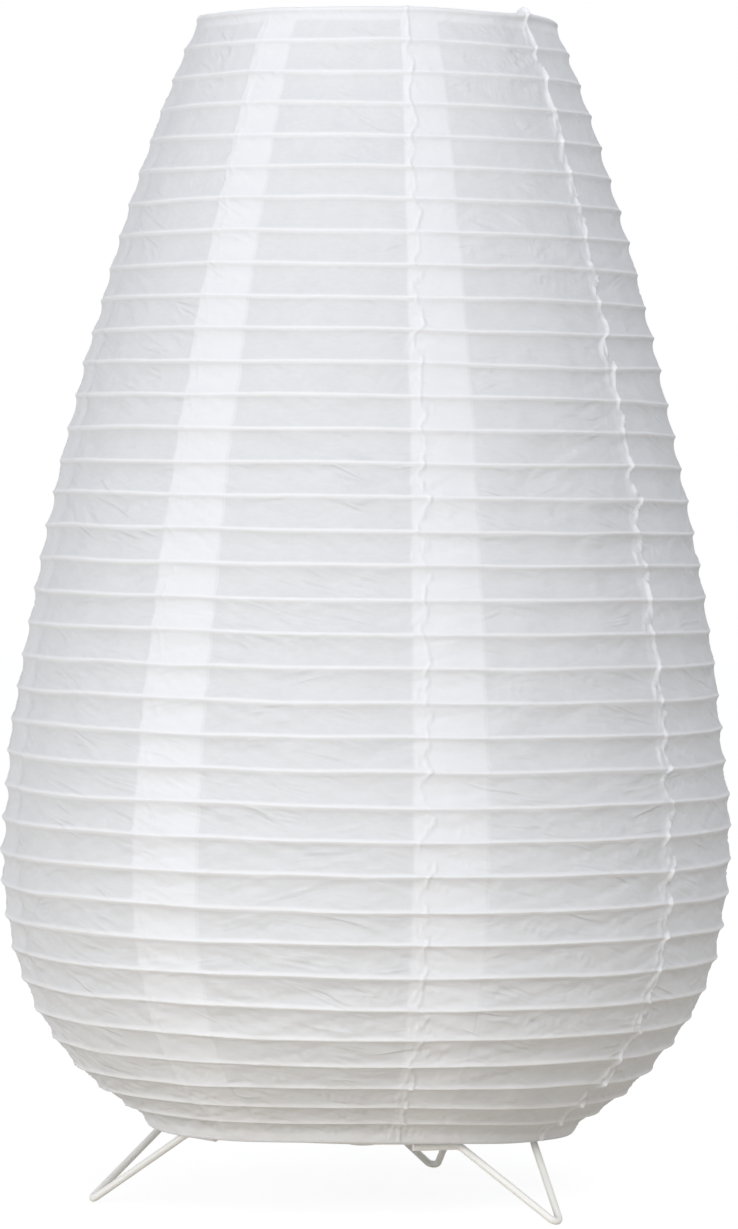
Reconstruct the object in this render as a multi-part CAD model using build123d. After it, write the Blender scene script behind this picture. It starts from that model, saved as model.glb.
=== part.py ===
from build123d import *
import math
import os

# A floor lantern: a pleated paper shade on light hoops, hung over a welded wire stand
# with a screw lampholder and a lamp inside.
# Millimetres and degrees. Z is up, the floor is z = 0 and the lantern's axis is x = y = 0.

# Wire stand
foot_count = 3
first_foot_angle = 180.0
stand_wire = 3.6
base_ring_r = 97.0
base_ring_z = 39.0
weld_set_down = 0.4
foot_reach = 137.0
foot_half_spread = 15.0
foot_tail = 24.0
foot_tip_bend_r = 3.2
foot_tail_bend_r = 5.0
upright_overhang = 3.0
shoulder_angle = 45.0
shoulder_bend_r = 4.0
upright_tip = 2.6

# Shade outline
hem_drop = 1.4
hem_clearance = 3.0
hem_wire = 2.5
hem_flare = 25.0
hem_pull = 14.5
belly_r = 180.2
belly_rise = 138.6
belly_pull_down = 113.0
belly_pull_up = 64.0
rim_ring_r = 87.2
rim_height = 542.1
rim_wire = 3.0
rim_taper = 22.6
rim_pull = 149.0

# Hoops and paper
hoop_count = 35
hoop_wire = 1.2
paper_count = 8
paper_t = 0.5
paper_sag = 0.9
glue_gap = 0.15
ring_fit = 0.3
lap_angle = 12.0
lap_lead = 7.2
lap_step_angle = 0.3
lap_play_angle = 0.1
hem_wrap = 130.0
rim_wrap = 150.0

# Gap kept between the stand and the shade that rests on it
seat_gap = 0.3

# Lampholder bracket and its threaded tube
plate_r = 24.0
plate_t = 1.5
spoke_inset = 10.0
tube_r = 5.0
tube_wall = 1.3
tube_below = 12.0
tube_above = 8.0
thread_play = 0.05
nut_across_flats = 14.0
nut_t = 4.0
washer_r = 9.5
washer_t = 0.8
cord_r = 2.9
bush_flange_r = 6.5
bush_flange_t = 2.0
bush_spigot = 8.0

# Screw lampholder
holder_r = 19.5
holder_wall = 2.1
boss_r = 10.0
boss_h = 8.0
cap_shoulder_h = 5.0
ledge_w = 3.0
terminal_space = 6.0
block_t = 6.0
cap_rim_h = 8.0
skirt_h = 24.0
slip_play = 0.15
shell_gap = 0.6
shell_wall = 0.7
shell_h = 27.0
contact_t = 0.6
contact_w = 5.0
contact_rise = 5.0
rivet_r = 1.2
rivet_head_r = 2.2
rivet_head_t = 0.7
terminal_spread = 10.5
terminal_thread_r = 1.5
terminal_head_r = 2.8
terminal_head_t = 2.0
grip_r = 1.5

# Screw lamp
thread_pitch = 3.62
thread_core_r = 12.1
thread_ridge_r = 0.95
thread_gap = 1.3
thread_turns = 3.5
lamp_cap_h = 22.0
lamp_cap_wall = 0.6
lamp_cap_collar_h = 3.6
button_r = 4.6
button_h = 1.8
button_seat = 0.8
insulator_h = 5.0
lamp_neck_r = 13.4
lamp_neck_lap = 3.0
housing_h = 33.0
housing_r = 28.5
housing_wall = 1.8
globe_swell = 1.5
globe_wall = 1.2
globe_lip = 3.0
board_t = 1.6
board_ledge = 2.5
chip_count = 9
chip_w = 3.5
chip_h = 0.8
chip_circle_r = 16.0
driver_w = 16.0
driver_h = 26.0
driver_t = 1.6
rest_gap = 0.3

os.makedirs("parts", exist_ok=True)


def save(part, name):
    part.label = name
    export_step(part, f"parts/{name}.step")


def turned(points):
    # A solid of revolution about Z from (radius, height) corners
    return revolve(Plane.XZ * make_face(Polyline(*points, close=True)), Axis.Z)


def tube(outer_r, inner_r, bottom, top):
    return turned([(inner_r, bottom), (outer_r, bottom), (outer_r, top), (inner_r, top)])


def rod(radius, bottom, top):
    return Pos(0, 0, bottom) * extrude(Circle(radius), top - bottom)


def wire_along(path, diameter):
    start = Plane(origin=path @ 0, z_dir=path % 0)
    return sweep(start * Circle(diameter / 2), path=path)


def around(count, first=0.0):
    return [first + index * 360.0 / count for index in range(count)]


def polar(radius, angle, height):
    turn = math.radians(angle)
    return Vector(radius * math.cos(turn), radius * math.sin(turn), height)


# Heights and radii that follow from the sizes above
foot_angles = around(foot_count, first_foot_angle)
spoke_angles = around(foot_count, first_foot_angle + 180.0 / foot_count)
weld_pitch = stand_wire - weld_set_down
hem_cover = ring_fit + paper_t
hem_ring_r = base_ring_r + stand_wire / 2 + hem_clearance + hem_cover + hem_wire / 2
hem_ring_z = base_ring_z - hem_drop
rim_ring_z = hem_ring_z + rim_height
paper_step = paper_t + glue_gap
spans = hoop_count + 1

# Base ring
save(Pos(0, 0, base_ring_z) * Torus(base_ring_r, stand_wire / 2), "base_ring")

# Hairpin feet: two arms meet in a round tip on the floor, and each tail lies under the ring
tail_z = base_ring_z - weld_pitch
chord_x = base_ring_r * math.cos(math.radians(foot_half_spread))
half_chord = base_ring_r * math.sin(math.radians(foot_half_spread))
chord_mid = Vector(chord_x, 0, tail_z)
tip_end = Vector(foot_reach - stand_wire / 2, 0, stand_wire / 2)
arm_run = (tip_end - chord_mid).length
arm_way = (tip_end - chord_mid).normalized()
bend_at = arm_run - foot_tip_bend_r
bend_root = math.sqrt(bend_at**2 + half_chord**2 - foot_tip_bend_r**2)
corner_run = bend_at * half_chord**2 + half_chord * foot_tip_bend_r * bend_root
corner_run = corner_run / (half_chord**2 - foot_tip_bend_r**2)
tip_corner = chord_mid + arm_way * corner_run
tail_turn = math.radians(foot_half_spread + math.degrees(foot_tail / base_ring_r) / 2)
tail_way = Vector(-math.sin(tail_turn), math.cos(tail_turn), 0)
left_knee = chord_mid + Vector(0, half_chord, 0)
left_tail = left_knee + tail_way * foot_tail
right_knee = Vector(left_knee.X, -left_knee.Y, left_knee.Z)
right_tail = Vector(left_tail.X, -left_tail.Y, left_tail.Z)
foot_path = FilletPolyline(
    left_tail, left_knee, tip_corner, right_knee, right_tail,
    radius=[foot_tail_bend_r, foot_tip_bend_r, foot_tail_bend_r],
)
foot = wire_along(foot_path, stand_wire)
for index, angle in enumerate(foot_angles):
    save(Rot(0, 0, angle) * foot, f"foot_{index + 1}")

# Uprights: welded inside the ring, cranked in at the top so the rim ring sits on the shoulder
upright_foot_r = base_ring_r - weld_pitch
upright_tip_r = rim_ring_r - rim_wire / 2 - hem_cover - seat_gap - stand_wire / 2
shoulder_run = rim_ring_r - upright_tip_r
shoulder_rise = shoulder_run / math.tan(math.radians(shoulder_angle))
seat_reach = rim_wire / 2 + stand_wire / 2 + seat_gap
shoulder_z = rim_ring_z - seat_reach / math.sin(math.radians(shoulder_angle))
upright_path = FilletPolyline(
    Vector(upright_foot_r, 0, base_ring_z - upright_overhang),
    Vector(upright_foot_r, 0, base_ring_z + stand_wire),
    Vector(rim_ring_r, 0, shoulder_z),
    Vector(upright_tip_r, 0, shoulder_z + shoulder_rise),
    Vector(upright_tip_r, 0, shoulder_z + shoulder_rise + upright_tip),
    radius=[shoulder_bend_r, shoulder_bend_r, shoulder_bend_r],
)
upright = wire_along(upright_path, stand_wire)
for index, angle in enumerate(foot_angles):
    save(Rot(0, 0, angle) * upright, f"upright_{index + 1}")

# Spokes carry the holder plate from the base ring
spoke_end = base_ring_r - stand_wire / 2 + weld_set_down
spoke = Pos(spoke_inset, 0, base_ring_z) * (Rot(0, 90, 0) * extrude(
    Circle(stand_wire / 2), spoke_end - spoke_inset
))
for index, angle in enumerate(spoke_angles):
    save(Rot(0, 0, angle) * spoke, f"spoke_{index + 1}")

# Holder plate, threaded tube, nut, washer and cord bush
plate_z = base_ring_z + stand_wire / 2 - weld_set_down
plate_top = plate_z + plate_t
tube_bore_r = tube_r - tube_wall
clear_r = tube_r + thread_play
holder_z = plate_top + washer_t
save(tube(plate_r, clear_r, plate_z, plate_top), "holder_plate")
save(tube(tube_r, tube_bore_r, plate_z - tube_below, holder_z + tube_above), "threaded_tube")
nut = Pos(0, 0, plate_z - nut_t) * extrude(
    RegularPolygon(nut_across_flats / 2, 6, major_radius=False) - Circle(clear_r), nut_t
)
save(nut, "lock_nut")
save(tube(washer_r, clear_r, plate_top, holder_z), "lock_washer")
bush_z = plate_z - tube_below
bush_spigot_r = tube_bore_r - thread_play
bush = turned([
    (cord_r, bush_z - bush_flange_t),
    (bush_flange_r, bush_z - bush_flange_t),
    (bush_flange_r, bush_z),
    (bush_spigot_r, bush_z),
    (bush_spigot_r, bush_z + bush_spigot),
    (cord_r, bush_z + bush_spigot),
])
save(bush, "cord_bush")

# Lampholder cap: threaded boss, sloping shoulder and a ledge for the terminal block
cap_bore_r = holder_r - holder_wall
boss_top = holder_z + boss_h
shoulder_top = boss_top + cap_shoulder_h
ledge_z = boss_top + terminal_space
block_top = ledge_z + block_t
cap_top = block_top + cap_rim_h
holder_cap = turned([
    (clear_r, holder_z),
    (boss_r, holder_z),
    (boss_r, boss_top - 2.0),
    (holder_r, shoulder_top),
    (holder_r, cap_top),
    (cap_bore_r, cap_top),
    (cap_bore_r, ledge_z),
    (cap_bore_r - ledge_w, ledge_z),
    (cap_bore_r - ledge_w, boss_top),
    (clear_r, boss_top),
])
grip_z = holder_z + boss_h / 2 - 1.0
grip_way = Pos(0, 0, grip_z) * Rot(0, 90, 0)
holder_cap -= grip_way * extrude(Circle(grip_r + thread_play), holder_r)
save(holder_cap, "holder_cap")
grip_screw = grip_way * Pos(0, 0, clear_r) * extrude(Circle(grip_r), boss_r - clear_r)
save(grip_screw, "grip_screw")

# Terminal block with its screws and rivets
block_r = cap_bore_r - slip_play
rivet_x = button_r + rivet_head_r + 0.6
terminal_spots = [Pos(0, side * terminal_spread, 0) for side in (-1, 1)]
rivet_spots = [Pos(side * rivet_x, 0, 0) for side in (-1, 1)]
terminal_block = rod(block_r, ledge_z, block_top)
for spot in terminal_spots:
    terminal_block -= spot * rod(terminal_thread_r + thread_play, ledge_z, block_top - 1.0)
for spot in rivet_spots:
    terminal_block -= spot * rod(rivet_r + thread_play, ledge_z, block_top)
save(terminal_block, "terminal_block")
terminal_screw = rod(terminal_head_r, ledge_z - terminal_head_t, ledge_z)
terminal_screw += rod(terminal_thread_r, ledge_z, block_top - 1.5)
slot_z = ledge_z - terminal_head_t
terminal_screw -= Pos(0, 0, slot_z) * Box(2 * terminal_head_r, 0.8, 1.6)
save(Compound([spot * terminal_screw for spot in terminal_spots]), "terminal_screws")

# Screw shell: a thin tube with a rolled thread, and a floor ring riveted to the block
shell_bore_r = thread_core_r + thread_gap
shell_r = shell_bore_r + shell_wall
shell_floor_r = rivet_x - rivet_head_r
shell_top = block_top + shell_h
screw_shell = turned([
    (shell_floor_r, block_top),
    (shell_r, block_top),
    (shell_r, shell_top),
    (shell_bore_r, shell_top),
    (shell_bore_r, block_top + contact_t),
    (shell_floor_r, block_top + contact_t),
])
thread_h = thread_turns * thread_pitch
shell_thread_z = shell_top - thread_h - thread_ridge_r - 0.5
shell_helix = Pos(0, 0, shell_thread_z) * Helix(thread_pitch, thread_h, shell_bore_r)
screw_shell += wire_along(shell_helix, 2 * thread_ridge_r) & tube(
    shell_r - 0.1, thread_core_r, block_top, shell_top
)
screw_shell -= rivet_spots[0] * rod(rivet_r + thread_play, block_top, block_top + contact_t)
screw_shell -= Pos(rivet_x, 0, block_top) * Box(
    3 * rivet_head_r, contact_w + 2.0, 4 * contact_t
)
save(screw_shell, "screw_shell")

# Centre contact: a leaf riveted to the block and sprung up under the lamp's button
leaf_foot = rivet_x + rivet_head_r
leaf_top = block_top + contact_rise
leaf_line = FilletPolyline(
    (leaf_foot, block_top + contact_t / 2),
    (button_r - 1.0, block_top + contact_t / 2),
    (button_r - 4.0, leaf_top - contact_t / 2),
    (-button_r + 1.5, leaf_top - contact_t / 2),
    radius=1.2,
)
leaf_face = make_face(offset(leaf_line, contact_t / 2, kind=Kind.INTERSECTION))
centre_contact = extrude(Plane.XZ * leaf_face, contact_w / 2, both=True)
centre_contact -= rivet_spots[1] * rod(rivet_r + thread_play, block_top, block_top + contact_t)
save(centre_contact, "centre_contact")
rivet = rod(rivet_r, ledge_z, block_top + contact_t)
rivet += rod(rivet_head_r, block_top + contact_t, block_top + contact_t + rivet_head_t)
save(Compound([spot * rivet for spot in rivet_spots]), "contact_rivets")

# Lampholder skirt stands on the block and closes the cap
skirt_bore_r = shell_r + shell_gap
skirt_top = cap_top + skirt_h
holder_skirt = turned([
    (skirt_bore_r, block_top),
    (cap_bore_r - slip_play, block_top),
    (cap_bore_r - slip_play, cap_top),
    (holder_r, cap_top),
    (holder_r - 1.0, skirt_top),
    (skirt_bore_r, skirt_top),
])
save(holder_skirt, "holder_skirt")

# Lamp foot: button and insulator
lamp_z = leaf_top + rest_gap
insulator_z = lamp_z + button_h - button_seat
cap_z = insulator_z + insulator_h
lamp_bore_r = thread_core_r - lamp_cap_wall
save(rod(button_r, lamp_z, lamp_z + button_h), "lamp_button")
insulator = turned([
    (0, insulator_z),
    (button_r + 1.2, insulator_z),
    (lamp_bore_r - thread_play, cap_z),
    (lamp_bore_r - thread_play, cap_z + 2.0),
    (0, cap_z + 2.0),
])
insulator -= rod(button_r + thread_play, insulator_z, lamp_z + button_h)
save(insulator, "lamp_insulator")

# Lamp cap with its rolled thread
cap_end = cap_z + lamp_cap_h
collar_z = cap_end - lamp_cap_collar_h
lamp_cap = turned([
    (lamp_bore_r, cap_z),
    (thread_core_r, cap_z),
    (thread_core_r, collar_z),
    (lamp_neck_r - 0.3, collar_z + 1.2),
    (lamp_neck_r - 0.3, cap_end),
    (lamp_bore_r, cap_end),
])
lamp_thread_z = shell_thread_z + thread_pitch / 2
lamp_helix = Pos(0, 0, lamp_thread_z) * Helix(thread_pitch, thread_h, thread_core_r)
lamp_cap += wire_along(lamp_helix, 2 * thread_ridge_r) & tube(
    shell_bore_r, lamp_bore_r + 0.1, cap_z, collar_z
)
save(lamp_cap, "lamp_cap")

# Lamp housing, boards and globe
housing_end = cap_end + housing_h
neck_r = lamp_bore_r - thread_play
ledge_r = housing_r - housing_wall - board_ledge
board_z = housing_end - globe_lip - board_t
housing = turned([
    (neck_r - housing_wall, cap_end - lamp_neck_lap),
    (neck_r, cap_end - lamp_neck_lap),
    (neck_r, cap_end),
    (lamp_neck_r, cap_end),
    (lamp_neck_r + 1.5, cap_end + 6.0),
    (housing_r, housing_end - 4.0),
    (housing_r, housing_end),
    (housing_r - housing_wall, housing_end),
    (housing_r - housing_wall, board_z),
    (ledge_r, board_z),
    (lamp_neck_r + 1.5 - housing_wall, cap_end + 6.0),
    (neck_r - housing_wall, cap_end),
])
save(housing, "lamp_housing")
board_r = housing_r - housing_wall - slip_play
lamp_board = rod(board_r, board_z, board_z + board_t)
save(lamp_board, "lamp_board")
chip_spots = [Rot(0, 0, angle) * Pos(chip_circle_r, 0, 0) for angle in around(chip_count)]
chip_z = board_z + board_t + chip_h / 2
save(
    Compound([spot * Pos(0, 0, chip_z) * Box(chip_w, chip_w, chip_h) for spot in chip_spots]),
    "lamp_chips",
)
driver_z = board_z - driver_h / 2
save(Pos(0, 0, driver_z) * Box(driver_w, driver_t, driver_h), "driver_board")
globe_base = board_z + board_t
lip_r = housing_r - housing_wall - slip_play
globe_r = housing_r + globe_swell
globe_mid = housing_end + math.sqrt(globe_r**2 - housing_r**2)
ball = Pos(0, 0, globe_mid) * (Sphere(globe_r) - Sphere(globe_r - globe_wall))
globe = split(ball, Plane.XY.offset(housing_end), keep=Keep.TOP)
globe += tube(lip_r, lip_r - globe_wall, globe_base, housing_end)
globe += tube(housing_r, lip_r - globe_wall, housing_end, housing_end + globe_wall)
save(globe, "lamp_globe")

# Outline of the paper where it passes over the hoops, as (radius, height)
hem_turn = math.radians(hem_flare)
rim_turn = math.radians(rim_taper)
hem_centre = Vector(hem_ring_r, hem_ring_z)
rim_centre = Vector(rim_ring_r, rim_ring_z)
hem_hold_r = hem_wire / 2 + ring_fit
rim_hold_r = rim_wire / 2 + ring_fit
hem_start = hem_centre + Vector(math.cos(hem_turn), -math.sin(hem_turn)) * hem_hold_r
rim_end = rim_centre + Vector(math.cos(rim_turn), math.sin(rim_turn)) * rim_hold_r
belly = Vector(belly_r, hem_ring_z + belly_rise)
lower_line = Bezier(
    hem_start,
    hem_start + Vector(math.sin(hem_turn), math.cos(hem_turn)) * hem_pull,
    belly - Vector(0, belly_pull_down),
    belly,
)
upper_line = Bezier(
    belly,
    belly + Vector(0, belly_pull_up),
    rim_end + Vector(math.sin(rim_turn), -math.cos(rim_turn)) * rim_pull,
    rim_end,
)
outline = Wire([lower_line, upper_line])


def skin_point(share, out):
    # A point at a share of the outline's length, moved out square to it
    way = outline % share
    return (outline @ share) + Vector(way.Y, -way.X) * out


def skin_arcs(out):
    # The paper's line: it touches every hoop and sags a little between them
    ends = [skin_point(index / spans, out) for index in range(spans + 1)]
    mids = [skin_point((index + 0.5) / spans, out - paper_sag) for index in range(spans)]
    return [ThreePointArc(ends[i], mids[i], ends[i + 1]) for i in range(spans)]


def plain_section(inner, outer):
    inside = skin_arcs(inner)
    outside = skin_arcs(outer)
    hem_edge = Line(inside[0] @ 0, outside[0] @ 0)
    rim_edge = Line(inside[-1] @ 1, outside[-1] @ 1)
    return make_face(inside + outside + [hem_edge, rim_edge])


def wrapped_section(inner, outer):
    # The same sheet with its ends turned round the hem ring and the rim ring
    edges = []
    closers = []
    for out in (inner, outer):
        hem_arc = CenterArc(hem_centre, hem_hold_r + out, -hem_flare, -hem_wrap)
        rim_arc = CenterArc(rim_centre, rim_hold_r + out, rim_taper, rim_wrap)
        edges += skin_arcs(out) + [hem_arc, rim_arc]
        closers.append((hem_arc @ 1, rim_arc @ 1))
    edges.append(Line(closers[0][0], closers[1][0]))
    edges.append(Line(closers[0][1], closers[1][1]))
    return make_face(edges)


def swept_paper(section, start, angle):
    return Rot(0, 0, start) * revolve(Plane.XZ * section, Axis.Z, revolution_arc=angle)


# Hem ring and rim ring
save(Pos(0, 0, hem_ring_z) * Torus(hem_ring_r, hem_wire / 2), "hem_ring")
save(Pos(0, 0, rim_ring_z) * Torus(rim_ring_r, rim_wire / 2), "rim_ring")

# Hoops inside the paper
hoops = []
for index in range(1, spans):
    centre = skin_point(index / spans, -glue_gap - hoop_wire / 2)
    hoops.append(Pos(0, 0, centre.Y) * Torus(centre.X, hoop_wire / 2))
hoop_share = math.ceil(hoop_count / 3)
save(Compound(hoops[:hoop_share]), "hoops_lower")
save(Compound(hoops[hoop_share:2 * hoop_share]), "hoops_middle")
save(Compound(hoops[2 * hoop_share:]), "hoops_upper")

# Paper panels: each sheet steps out at its end and laps over the next one
pitch_angle = 360.0 / paper_count
sheet_angle = pitch_angle - lap_step_angle - lap_play_angle
sheet = swept_paper(wrapped_section(0, paper_t), 0, sheet_angle)
step = swept_paper(plain_section(0, paper_step + paper_t), sheet_angle, lap_step_angle)
flap = swept_paper(
    plain_section(paper_step, paper_step + paper_t), pitch_angle - lap_play_angle, lap_angle
)
panel = sheet + step + flap
for index, angle in enumerate(around(paper_count, -lap_lead)):
    save(Rot(0, 0, angle) * panel, f"paper_{index + 1}")
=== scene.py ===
# %% [markdown]
# # A paper lantern floor lamp
# Eight long panels of white paper are pasted over thin wire hoops, each panel lapped over
# the next one, and the pear-shaped shade hangs over a white wire stand with hairpin feet.
# The solid parts come from the CAD frame. Blender adds what the solids can't show: the
# paper's thinness, its ribs, puckers and creases, and the finish of every surface.

# %% Load the frame
import math
from types import SimpleNamespace

import bpy
from mathutils import Matrix, Vector


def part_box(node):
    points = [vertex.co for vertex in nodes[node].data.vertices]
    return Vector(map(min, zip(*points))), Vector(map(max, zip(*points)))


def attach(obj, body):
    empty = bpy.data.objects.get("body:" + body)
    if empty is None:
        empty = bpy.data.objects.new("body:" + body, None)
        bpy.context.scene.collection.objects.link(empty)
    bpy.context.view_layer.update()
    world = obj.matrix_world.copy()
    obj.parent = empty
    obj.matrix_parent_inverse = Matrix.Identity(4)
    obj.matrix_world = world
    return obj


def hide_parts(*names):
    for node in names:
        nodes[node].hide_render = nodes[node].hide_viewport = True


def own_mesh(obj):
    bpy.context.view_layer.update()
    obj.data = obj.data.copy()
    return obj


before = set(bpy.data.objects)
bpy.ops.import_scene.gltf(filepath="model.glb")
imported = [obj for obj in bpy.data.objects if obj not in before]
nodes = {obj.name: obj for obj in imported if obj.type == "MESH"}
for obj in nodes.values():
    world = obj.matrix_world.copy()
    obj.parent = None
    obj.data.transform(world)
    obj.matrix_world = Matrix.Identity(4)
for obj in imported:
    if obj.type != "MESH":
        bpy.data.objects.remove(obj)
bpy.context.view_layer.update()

# %% [markdown]
# ## Camera
# The camera stands about three metres away at the height of the shade's middle, with a long
# lens, so the lantern hardly tapers in perspective. It is turned by a small roll, because
# the lantern stands a little out of true in its picture.

# %% Camera
view_turn = math.radians(-104.0)
view_distance = 2.964
view_height = 0.3626
aim_height = 0.2887
roll = math.radians(0.8)

camera = bpy.data.objects.new("camera", bpy.data.cameras.new("camera"))
bpy.context.collection.objects.link(camera)
camera.location = (
    view_distance * math.cos(view_turn),
    view_distance * math.sin(view_turn),
    view_height,
)
look = Vector((0, 0, aim_height)) - camera.location
turn = look.to_track_quat("-Z", "Y").to_matrix().to_4x4() @ Matrix.Rotation(roll, 4, "Z")
camera.rotation_euler = turn.to_euler()
camera.data.sensor_width = 36.0
camera.data.lens = 175.8
bpy.context.scene.camera = camera
bpy.context.scene.view_settings.view_transform = "Standard"
print("camera at", [round(v, 3) for v in camera.location])

# %% [markdown]
# ## Helpers
# Colours are written as the hex values a paint chart would give, and Blender works in linear
# light, so one function converts them. A second function adds a node with its settings and
# wires its inputs: a number or colour is set on the socket, a node or socket is linked. Two
# more start and end a Geometry Nodes tree, with its named inputs and its material.

# %% Helpers
def linear(code):
    channels = [int(code[i:i + 2], 16) / 255 for i in (1, 3, 5)]
    return [c / 12.92 if c <= 0.04045 else ((c + 0.055) / 1.055) ** 2.4 for c in channels] + [1.0]


def add(tree, kind, inputs=(), **settings):
    node = tree.nodes.new(kind)
    for name, value in settings.items():
        setattr(node, name, value)
    for key, value in dict(inputs).items():
        socket = node.inputs[key]
        if isinstance(value, bpy.types.Node):
            value = next(s for s in value.outputs if s.enabled)
        if isinstance(value, bpy.types.NodeSocket):
            tree.links.new(value, socket)
        else:
            socket.default_value = value
    return node


def new_material(name):
    material = bpy.data.materials.new(name)
    material.use_nodes = True
    material.node_tree.nodes.clear()
    return material, material.node_tree


def start_tree(name, numbers, cover):
    tree = bpy.data.node_groups.new(name, "GeometryNodeTree")
    tree.interface.new_socket("Geometry", in_out="INPUT", socket_type="NodeSocketGeometry")
    for label, value in numbers:
        socket = tree.interface.new_socket(label, in_out="INPUT", socket_type="NodeSocketFloat")
        socket.default_value = value
    tree.interface.new_socket(cover, in_out="INPUT", socket_type="NodeSocketMaterial")
    tree.interface.new_socket("Geometry", in_out="OUTPUT", socket_type="NodeSocketGeometry")
    return tree, add(tree, "NodeGroupInput").outputs


def end_tree(tree, mesh, cover):
    smooth = add(tree, "GeometryNodeSetShadeSmooth", {"Geometry": mesh})
    real = add(tree, "GeometryNodeRealizeInstances", {"Geometry": smooth})
    dressed = add(tree, "GeometryNodeSetMaterial", {"Geometry": real, "Material": cover})
    add(tree, "NodeGroupOutput", {0: dressed})


# %% [markdown]
# ## Rice paper
# The shade is thin white paper made of long fibres: matt, cloudy where the pulp is thicker,
# and it lets about a fifth of the light through. Two layers in a lap send more light back,
# so the laps read as paler bands. Paper could be a volume that scatters light, but that is
# slow and grainy in so thin a sheet. Here a Principled shader gives the matt front and a
# Translucent shader the light that comes through. The cloudiness and the finest creases are
# noise on the paper's own map, in metres along and up the sheet, so the pattern folds with it.

# %% Rice paper
def rice_paper():
    material, tree = new_material("rice_paper")
    sheet = add(tree, "ShaderNodeUVMap", uv_map="paper_map")
    paleness = add(tree, "ShaderNodeAttribute", attribute_name="paleness")
    # Clouds of pulp about 18 mm across, and fibres about 1.5 mm wide and 6 mm long
    cloud = add(tree, "ShaderNodeTexNoise", {"Vector": sheet, "Scale": 1 / 0.018, "Detail": 4.0})
    stretch = add(tree, "ShaderNodeMapping", {"Vector": sheet, "Scale": (1 / 0.006, 1 / 0.0015, 1)})
    fibre = add(tree, "ShaderNodeTexNoise", {"Vector": stretch, "Scale": 1.0, "Detail": 3.0})
    both = add(tree, "ShaderNodeMath", {0: cloud.outputs[0], 1: fibre.outputs[0]}, operation="ADD")
    pulp = add(tree, "ShaderNodeMapRange", {"Value": both, 1: 0.6, 2: 1.4, 3: 0.0, 4: 1.0})
    single = add(tree, "ShaderNodeMix", {
        "Factor": pulp, 6: linear("#E5E7E9"), 7: linear("#ECEDEF")}, data_type="RGBA")
    # Paler where a second layer or a wire lies behind the paper; along each rib this paleness is
    # partly a painted highlight
    colour = add(tree, "ShaderNodeMix", {
        "Factor": paleness.outputs["Fac"], 6: single.outputs[2], 7: linear("#F9FAFC")}, data_type="RGBA")
    # Crumples about 6 mm apart, too shallow to be worth a mesh
    crumple = add(tree, "ShaderNodeTexNoise", {
        "Vector": sheet, "Scale": 1 / 0.006, "Detail": 4.0, "Roughness": 0.5, "Distortion": 0.6})
    up = add(tree, "ShaderNodeSeparateXYZ", {0: sheet})
    deep = add(tree, "ShaderNodeMapRange", {
        "Value": up.outputs[1], 1: 0.12, 2: 0.30, 3: 0.42, 4: 0.66})
    height = add(tree, "ShaderNodeMath", {0: crumple.outputs[0], 1: deep}, operation="MULTIPLY")
    # Creases about 40 mm long and 8 mm wide: patches that fall to the right, others to the left
    low_down = add(tree, "ShaderNodeMapRange", {
        "Value": up.outputs[1], 1: 0.05, 2: 0.50, 3: 0.01, 4: -0.03})
    flat = add(tree, "ShaderNodeMapRange", {
        "Value": paleness.outputs["Fac"], 1: 0.0, 2: 1.0, 3: 1.0, 4: 0.3})
    patch = add(tree, "ShaderNodeTexNoise", {"Vector": sheet, "Scale": 1 / 0.045, "Detail": 2.0})
    for turn, size, none, full in (
        (-14, (0.040, 0.0078, 1), 0.46, 0.60), (9, (0.046, 0.0086, 1), 0.47, 0.36)):
        slanted = add(tree, "ShaderNodeMapping", {
            "Vector": sheet, "Rotation": (0, 0, math.radians(turn)), "Scale": size},
            vector_type="TEXTURE")
        lines = add(tree, "ShaderNodeTexNoise", {
            "Vector": slanted, "Scale": 1.0, "Detail": 1.0, "Distortion": 0.5})
        off_line = add(tree, "ShaderNodeMath", {0: add(tree, "ShaderNodeMath", {
            0: lines.outputs[0], 1: 0.5}, operation="SUBTRACT")}, operation="ABSOLUTE")
        crease = add(tree, "ShaderNodeMapRange", {
            "Value": off_line, 1: 0.0, 2: 0.18, 3: 1.0, 4: 0.0}, interpolation_type="SMOOTHSTEP")
        often = add(tree, "ShaderNodeMath", {
            0: low_down, 1: 1.0 if full > none else -1.0, 2: patch.outputs[0]},
            operation="MULTIPLY_ADD")
        often = add(tree, "ShaderNodeMapRange", {"Value": often, 1: none, 2: full, 3: 0.0, 4: 1.0})
        often = add(tree, "ShaderNodeMath", {0: often, 1: flat}, operation="MULTIPLY")
        height = add(tree, "ShaderNodeMath", {
            0: crease, 1: often, 2: height}, operation="MULTIPLY_ADD")
    bump = add(tree, "ShaderNodeBump", {"Height": height, "Strength": 0.55, "Distance": 0.0008})
    front = add(tree, "ShaderNodeBsdfPrincipled", {
        "Base Color": colour.outputs[2], "Roughness": 0.85, "IOR": 1.45,
        "Specular IOR Level": 0.25, "Normal": bump})
    through = add(tree, "ShaderNodeBsdfTranslucent", {
        "Color": colour.outputs[2], "Normal": bump})
    sheet_shader = add(tree, "ShaderNodeMixShader", {0: 0.2, 1: front, 2: through})
    add(tree, "ShaderNodeOutputMaterial", {"Surface": sheet_shader})
    return material


paper = rice_paper()
print("made", paper.name)

# %% [markdown]
# ## The shade's outline
# The outline is one curve, drawn as radius across and height up: it starts inside the hem,
# turns round the hem ring, swells to the belly, narrows to the rim and turns over the rim
# ring. A row of measured points could hold it, but they would leave flats between them, so a
# Bezier spline with seven points does, and the node trees below sweep it round.

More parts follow.
